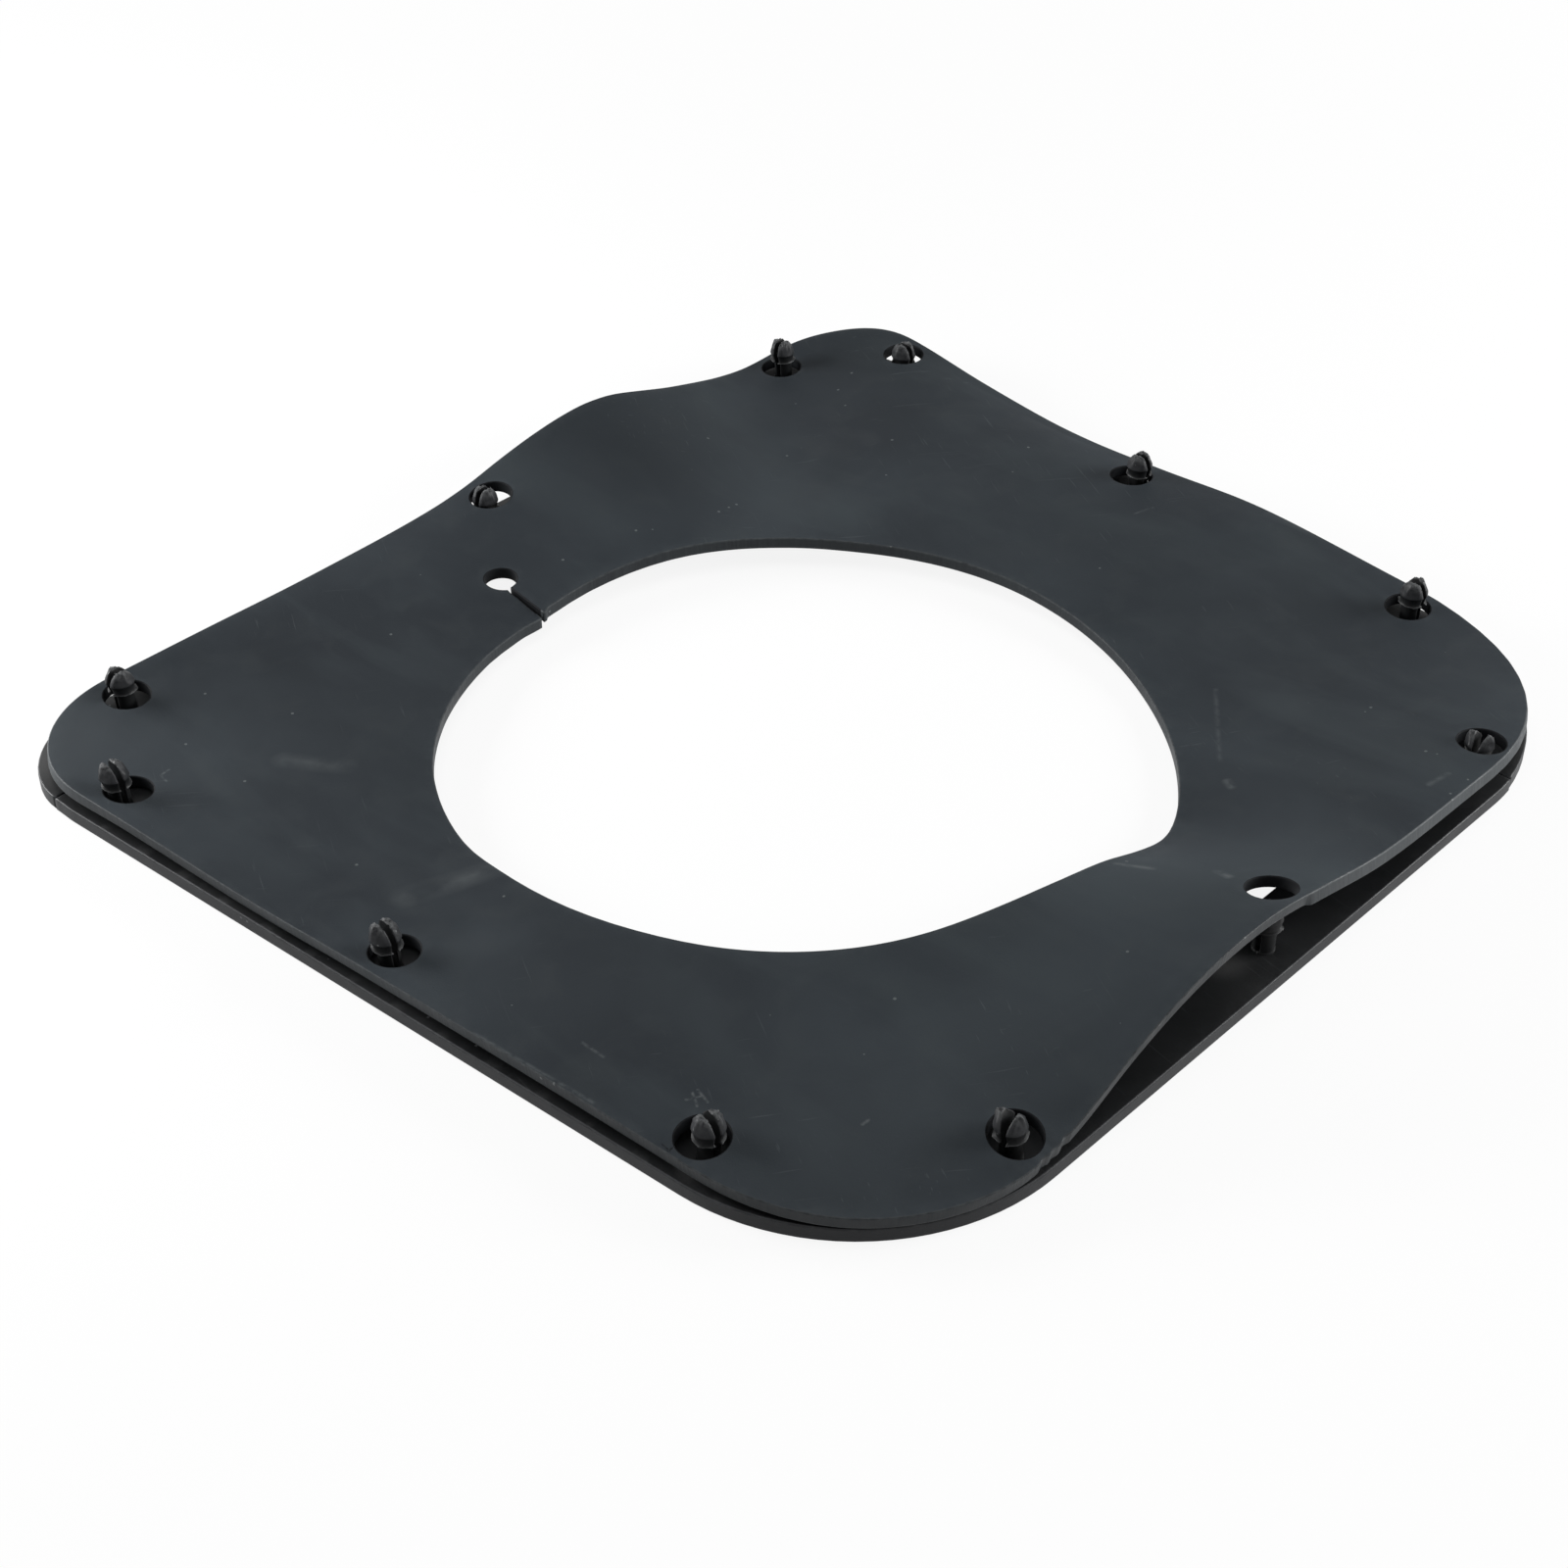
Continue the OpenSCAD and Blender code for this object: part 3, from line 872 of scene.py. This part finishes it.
def rubber_material(effects):
    """The sheet's rolled faces: slate black, hazy from handling, with soft areas of painted light
    and painted shade.
    """
    material, tree, shader = new_material("Seal rubber", 0.06)
    haze = patchy(tree, effects, 13.0, 0.36, 0.66)
    wipes = patchy(tree, effects, 26.0, 0.5, 0.75, Stretch=(0.45, 1.5, 1))
    grime = patchy(tree, effects, 70.0, 0.5, 0.8, Shift=(3, 1, 0))
    rubbed = patchy(tree, effects, 24.0, 0.5, 0.62, Shift=(7, 2, 0))
    lines = sums(
        tree, "MAXIMUM", use(tree, effects["scratches"], {"Turn": 0.5, "Low": 0.7}),
        use(tree, effects["scratches"], {"Turn": -0.9, "Scale": 1100.0, "Low": 0.71}))
    lines = sums(tree, "MULTIPLY", lines, rubbed)
    specks = use(tree, effects["specks"], {"Scale": 330.0, "Size": 0.14, "Share": 0.025})
    scuffs = marks(tree, effects["scuff"], SCUFFS)
    cracks = marks(tree, effects["scuff"], CRACKS)
    wear = use(tree, effects["wear"], {"Scale": 350.0})
    colour = coats(tree, (37, 41, 45), [
        (haze, 0.9, (51, 56, 60)),
        (wipes, 0.5, (56, 62, 65)),
        (grime, 0.3, (56, 60, 62)),
        # Soft areas of painted light and painted shade
        (areas(tree, effects["area"], PAINTED_LIGHT_AREAS), 1.0, (80, 85, 88)),
        (areas(tree, effects["area"], PAINTED_SHADE_AREAS), 1.0, (20, 23, 26)),
        (lines, 0.16, (96, 101, 103)),
        (specks, 0.35, (120, 124, 124)),
        (scuffs, 0.5, (104, 108, 109)),
        (wear, 0.2, (80, 84, 86)),
        (cracks, 1.0, (12, 13, 14)),
    ])
    rough = remap(tree, haze, 0.0, 1.0, 0.58, 0.68)
    rough = sums(tree, "ADD", rough, sums(tree, "MULTIPLY", scuffs, 0.1))
    height = use(tree, effects["grain"], {"Scale": 2200.0})
    height = sums(tree, "SUBTRACT", height, sums(tree, "MULTIPLY", lines, 0.5))
    height = sums(tree, "SUBTRACT", height, sums(tree, "MULTIPLY", cracks, 3.0))
    finish_material(tree, shader, colour, rough, height, 0.06 * MM)
    return material


def cut_rubber_material(effects):
    """The sheet's cut walls: greyer, with drag marks of the cutting knife across them, and soft
    areas of painted light and painted shade.
    """
    material, tree, shader = new_material("Seal rubber, cut edge", 0.15)
    drag = patchy(tree, effects, 900.0, 0.35, 0.7, Stretch=(1, 1, 0.05))
    blotch = patchy(tree, effects, 60.0, 0.4, 0.7, Shift=(1, 4, 0))
    colour = coats(tree, (36, 39, 42), [
        (drag, 0.5, (47, 51, 53)),
        (blotch, 0.4, (52, 56, 58)),
        # Soft areas of painted light and painted shade on the cut walls
        (areas(tree, effects["area"], PAINTED_LIGHT_WALLS), 1.0, (84, 88, 90)),
        (areas(tree, effects["area"], PAINTED_SHADE_WALLS), 1.0, (20, 22, 24)),
        (use(tree, effects["wear"], {"Scale": 500.0, "Low": 0.3, "High": 0.6}), 0.22, (90, 94, 95)),
        (use(tree, effects["specks"], {"Scale": 500.0, "Size": 0.2}), 0.4, (120, 123, 123)),
    ])
    rough = remap(tree, blotch, 0.0, 1.0, 0.42, 0.6)
    finish_material(tree, shader, colour, rough, drag, 0.08 * MM)
    return material


def hole_wall_painted_shade_material(effects):
    """The walls of the stud holes and of the slit: black rubber, darker than the cut walls as
    painted shade.
    """
    material, tree, shader = new_material("Seal rubber, hole walls in painted shade", 0.05)
    blotch = patchy(tree, effects, 120.0, 0.4, 0.7, Shift=(4, 1, 0))
    colour = coats(tree, (19, 20, 22), [(blotch, 1.0, (27, 29, 31))])
    rough = remap(tree, blotch, 0.0, 1.0, 0.55, 0.65)
    grain = use(tree, effects["grain"], {"Scale": 2000.0})
    finish_material(tree, shader, colour, rough, grain, 0.05 * MM)
    return material


def strip_material(effects, name, tones, wear_share):
    """The strips' moulded plastic: satin black with a fine grain, rubbed edges and soft areas of
    painted light.
    """
    material, tree, shader = new_material(name, 0.18)
    blotch = patchy(tree, effects, 30.0, 0.4, 0.7, Shift=(2, 2, 0))
    lines = use(tree, effects["scratches"], {"Turn": 0.2, "Scale": 1300.0, "Low": 0.69})
    wear = use(tree, effects["wear"], {"Scale": 400.0, "Low": 0.4, "High": 0.7})
    specks = use(tree, effects["specks"], {"Scale": 450.0, "Size": 0.18, "Share": 0.03})
    colour = coats(tree, tones[0], [
        (blotch, 0.7, tones[1]),
        (lines, 0.15, (84, 86, 88)),
        # Painted light on the strips' tops, the smaller patch a painted reflection
        (areas(tree, effects["area"], PAINTED_STRIP_LIGHT), 1.0, (84, 84, 84)),
        (wear, wear_share, (84, 86, 88)),
        (specks, 0.4, (116, 118, 120)),
    ])
    rough = remap(tree, blotch, 0.0, 1.0, 0.42, 0.54)
    grain = use(tree, effects["grain"], {"Scale": 1800.0})
    finish_material(tree, shader, colour, rough, grain, 0.05 * MM)
    return material


def stud_material(effects):
    """The studs' plastic: the strips' plastic, whitened where the tips are rubbed, and on the rim
    partly worn and partly a painted highlight.
    """
    material, tree, shader = new_material("Black stud plastic", 0.12)
    blotch = patchy(tree, effects, 220.0, 0.38, 0.68)
    # This mask holds the tips' real wear and the moulding rim's painted highlight
    wear = use(tree, effects["wear"], {"Scale": 900.0, "Low": 0.36, "High": 0.56})
    specks = use(tree, effects["specks"], {"Scale": 900.0, "Size": 0.22})
    colour = coats(tree, (32, 33, 35), [
        (blotch, 0.7, (46, 47, 49)),
        (wear, 0.6, (120, 122, 123)),
        (specks, 0.35, (140, 142, 143)),
    ])
    rough = remap(tree, blotch, 0.0, 1.0, 0.4, 0.55)
    grain = use(tree, effects["grain"], {"Scale": 1500.0})
    finish_material(tree, shader, colour, rough, grain, 0.08 * MM)
    return material


# Pieces

def nicked(loop):
    """The outline with small nicks where the real edge is torn."""
    out = loop.copy()
    away = outward(loop)
    for x, y, size, depth in NICKS:
        off = np.linalg.norm(loop - np.array([x, y]) * MM, axis=1)
        out -= away * (depth * MM * np.clip(1 - off / (size * MM), 0, 1))[:, None]
    return out


def find_slit(loop):
    """The slit's inner and outer end in plan, from the opening's outline.

    A point belongs to the slit if another part of the outline lies close by and faces it.
    """
    away = outward(loop)
    count = len(loop)
    found = []
    for k in range(count):
        off = np.linalg.norm(loop - loop[k], axis=1)
        apart = np.abs((np.arange(count) - k + count // 2) % count - count // 2) > SLIT_APART
        if (apart & (away @ away[k] < SLIT_FACING) & (off < SLIT_W)).any():
            found.append(k)
    lips = loop[found]
    reach = np.linalg.norm(lips - np.mean(loop, axis=0), axis=1)
    inner = lips[reach < reach.min() + SLIT_END].mean(0)
    outer = lips[reach > reach.max() - SLIT_END].mean(0)
    return inner, outer


def slit_measures(points, slit):
    """For points in plan: share along the slit from its hole, distance from it, and side of it."""
    inner, outer = slit
    line = inner - outer
    length = np.linalg.norm(line)
    share = (points - outer) @ line / length ** 2
    cross = (points - outer) @ np.array([-line[1], line[0]]) / length
    beyond = np.maximum(0, np.maximum(-share, share - 1)) * length
    return share, np.hypot(cross, beyond), np.sign(cross)


def opened_slit(loop, slit):
    """The opening's outline with its real slit and relief hole, and the slit's new ends."""
    share, off, side = slit_measures(loop, slit)
    along = (slit[0] - slit[1]) / np.linalg.norm(slit[0] - slit[1])
    across = np.array([-along[1], along[0]])
    share = np.clip(share, 0, 1)
    weight = smoothstep(np.clip(1 - np.maximum(0, off - LIP_WIDTH) / LIP_REACH, 0, 1))
    steps = [start + (end - start) * share for start, end in (LIP_SHIFTS[1], LIP_SHIFTS[-1])]
    step = np.where(side > 0, *steps)
    from_hole = np.linalg.norm(loop - (slit[1] - along * HOLE_OFF), axis=1)
    at_hole = np.clip(1 - (from_hole - HOLE_REACH) / HOLE_FADE, 0, 1)[:, None]
    moved = at_hole * np.array(HOLE_SHIFT) + (1 - at_hole) * across * (step * weight)[:, None]
    from_mouth = np.linalg.norm(loop - slit[0], axis=1)
    at_mouth = np.clip(1 - from_mouth / MOUTH_REACH, 0, 1)[:, None]
    moved += along * MOUTH_SHIFT * smoothstep(at_mouth)
    ends = [
        end + across * (LIP_SHIFTS[1][k] + LIP_SHIFTS[-1][k]) / 2
        for k, end in ((1, slit[0]), (0, slit[1]))
    ]
    return loop + moved, ends


def lip_rise(x, y, slit):
    """How far the sheet stands up beside the slit."""
    share, off, side = slit_measures(np.array([[x, y]]), slit)
    along = min(1, max(0, share[0] + LIP_START))
    fade = max(0, 1 - off[0] / LIP_SPAN) ** 2
    return LIP_RISES[1 if side[0] > 0 else -1] * along * fade


def ramp(value, low, high):
    """0 below low and 1 above high."""
    return min(1, max(0, (value - low) / (high - low)))


def wall_slant(x, y):
    """How far the lower lip of the outer wall stands out at a place in plan."""
    past_kink = ramp(x, *KINK_X) * ramp(y, *KINK_Y)
    left_corner = ramp(-x, *CORNER_X) * ramp(-y, *CORNER_Y)
    return KINK_SLANT * past_kink + CORNER_SLANT * left_corner - WALL_UNDERCUT


def make_seal(rubbers):
    """The rubber sheet, in place of the model's. Looks: faces, cut walls, punched walls in painted
    shade.
    """
    top = facing(triangles("rubber_seal"), 1)
    heights = Heights(top)
    loops = [
        nicked(even_points(loop, SHEET_RIM_STEP, HOLE_PASSES if k else OUTLINE_PASSES))
        for k, loop in enumerate(outlines(top, 1))
    ]
    loops[1], slit = opened_slit(loops[1], find_slit(loops[1]))
    middle = loops[1].mean(0)
    mouth = np.linalg.norm(slit[0] - middle) + MOUTH_GAP

    def under(x, y):
        """Height of the sheet's underside."""
        return heights.at(x, y) - SHEET_T + lip_rise(x, y, slit)

    def wall_kind(number, point):
        """Material number of a wall: 2 for the holes and the slit, whose walls are darker as
        painted shade.
        """
        near = np.linalg.norm(point - slit[1]) < SLIT_WALLS
        in_slit = near and np.linalg.norm(point - middle) > mouth
        return 2 if number > 1 or (number == 1 and in_slit) else 1

    mesh_data = plate(
        loops, SHEET_T, SHEET_EDGE_R, SHEET_STEP, SHEET_UNEVEN,
        under=under, passes=SHEET_PASSES, slant=wall_slant, wall_kind=wall_kind)
    seal = mesh_object("seal_sheet", *mesh_data, rubbers)
    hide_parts("rubber_seal")


def slot_angle(mount, mounts):
    """Direction of a stud's slot: along its side of the strips."""
    if "flank" not in mount["name"]:
        return math.pi / 2
    side = mount["name"].rsplit("_", 1)[0]
    row = sorted(m["pos_m"][:2] for m in mounts if m["name"].startswith(side))
    return math.atan2(row[-1][1] - row[0][1], row[-1][0] - row[0][0])


def shifted(loop, place, reach, shift):
    """The outline with the part around a place moved by a shift in millimetres."""
    off = np.linalg.norm(loop - np.array(place) * MM, axis=1)
    weight = smoothstep(np.clip(1 - off / (reach * MM), 0, 1))
    return loop + weight[:, None] * np.array(shift) * MM


def make_strip(node, name, plastics):
    """A strip with its studs, in place of the model's. Its looks: faces, sides and studs."""
    down = facing(triangles(node), -1)
    down = down[down[:, :, 2].max(1) < UNDERSIDE_Z]
    loops = [
        shifted(even_points(loop, STRIP_RIM_STEP, 0), *STRIP_SHIFTS[name])
        for loop in outlines(down, -1)
    ]
    verts, *others = plate(loops, STRIP_T, STRIP_EDGE_R, STRIP_STEP, STRIP_UNEVEN)
    strip = ([tuple(v) for v in verts], *others)
    rng = random.Random(name)
    mounts = [m for m in frame["record"]["mounts"] if m["kind"] == "other"]
    for mount in mounts:
        place = np.array(mount["pos_m"][:2])
        if inside(place[None], loops)[0]:
            habit = STUD_HABITS.get(mount["name"], NO_HABIT)
            # The stud under the sheet is painted in shade
            in_painted_shade = mount["name"] == SHEET_SHADED_STUD
            add_stud(strip, place, slot_angle(mount, mounts), habit, in_painted_shade, rng)
    made = mesh_object(name, *strip, plastics)
    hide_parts(node)


# Studio

def make_camera():
    """The camera in the photograph's place."""
    data = bpy.data.cameras.new("Camera")
    data.sensor_width = SENSOR_MM
    data.lens = FOCAL_PX / PHOTO_PX * SENSOR_MM
    camera = bpy.data.objects.new("Camera", data)
    a, e = math.radians(CAMERA_AZIMUTH), math.radians(CAMERA_ELEVATION)
    back = Vector((math.sin(a) * math.cos(e), -math.cos(a) * math.cos(e), math.sin(e)))
    camera.location = LOOK_AT + back * CAMERA_DISTANCE
    camera.rotation_mode = "QUATERNION"
    camera.rotation_quaternion = (-back).to_track_quat("-Z", "Y")
    data.clip_start = CLIP_START
    bpy.context.scene.collection.objects.link(camera)
    bpy.context.scene.camera = camera


def make_lamp(name, place, size, power):
    """A rectangular lamp that looks at the middle of the part, and isn't seen itself."""
    data = bpy.data.lights.new(name, "AREA")
    data.shape = "RECTANGLE"
    data.size, data.size_y = size
    data.energy = power
    lamp = bpy.data.objects.new(name, data)
    lamp.location = place
    lamp.visible_camera = False
    lamp.rotation_mode = "QUATERNION"
    lamp.rotation_quaternion = (-Vector(place)).to_track_quat("-Z", "Y")
    bpy.context.scene.collection.objects.link(lamp)


def make_floor():
    """A plain pale floor that keeps the part's shadow."""
    mesh = bpy.data.meshes.new("studio_floor")
    corners = [(x * FLOOR_HALF, y * FLOOR_HALF, 0) for x, y in ((-1, -1), (1, -1), (1, 1), (-1, 1))]
    mesh.from_pydata(corners, [], [(0, 1, 2, 3)])
    floor = bpy.data.objects.new("studio_floor", mesh)
    bpy.context.scene.collection.objects.link(floor)
    material, tree, lit = new_material("Studio floor", 0.0)
    lit.inputs["Base Color"].default_value = (FLOOR_TONE, FLOOR_TONE, FLOOR_TONE, 1)
    lit.inputs["Roughness"].default_value = FLOOR_ROUGHNESS
    glow = put(tree, "Emission")
    off = put(tree, "VectorMath", {0: spot(tree)}, operation="LENGTH").outputs["Value"]
    glow_share = remap(tree, off, *PLAIN_FROM, FLOOR_GLOW, 1.0)
    share = sums(tree, "MULTIPLY", seen_share(tree), glow_share)
    mix = put(tree, "MixShader", {"Fac": share, 1: lit.outputs[0], 2: glow.outputs[0]})
    tree.links.new(mix.outputs[0], tree.nodes["Material Output"].inputs["Surface"])
    mesh.materials.append(material)


def seen_share(tree):
    """1 for what the camera sees, straight or in a gloss or through glass."""
    path = put(tree, "LightPath")
    share = sums(tree, "MAXIMUM", path.outputs["Is Camera Ray"], path.outputs["Is Glossy Ray"])
    return sums(tree, "MAXIMUM", share, path.outputs["Is Transmission Ray"])


def make_world():
    """White where it is seen, and a weak light for the room."""
    world = bpy.data.worlds.new("Studio")
    bpy.context.scene.world = world
    world.use_nodes = True
    tree = world.node_tree
    room = tree.nodes["Background"]
    room.inputs["Color"].default_value = (1, 1, 1, 1)
    room.inputs["Strength"].default_value = ROOM_LIGHT
    white = put(tree, "Background", {"Color": (1, 1, 1, 1)})
    feeds = {"Fac": seen_share(tree), 1: room.outputs[0], 2: white.outputs[0]}
    mix = put(tree, "MixShader", feeds)
    tree.links.new(mix.outputs[0], tree.nodes["World Output"].inputs["Surface"])


bpy.context.scene.view_settings.view_transform = "Standard"
make_camera()
make_world()
make_floor()
for lamp_name, lamp_values in LAMPS.items():
    make_lamp(lamp_name, *lamp_values)
shared = {
    "patches": soft_patches(), "scratches": fine_scratches(), "specks": pale_specks(),
    "wear": edge_wear_and_highlight(), "grain": fine_grain(), "scuff": scuff_line(), "area": soft_area(),
}
make_seal([
    rubber_material(shared), cut_rubber_material(shared), hole_wall_painted_shade_material(shared),
])
# Two copies of one black plastic: the darker one on the strips' faces and the studs' bands, shanks
# and slot faces is painted shade, the lighter one on the strips' sides painted light
strip_plastics = [
    strip_material(shared, "Black strip plastic", [(19, 20, 21), (25, 26, 27)], 0.1),
    strip_material(
        shared, "Black strip plastic, sides in painted light", [(31, 32, 34), (40, 41, 43)], 0.22),
    stud_material(shared),
]
make_strip("front_retainer", "front_strip", strip_plastics)
make_strip("rear_retainer", "rear_strip", strip_plastics)
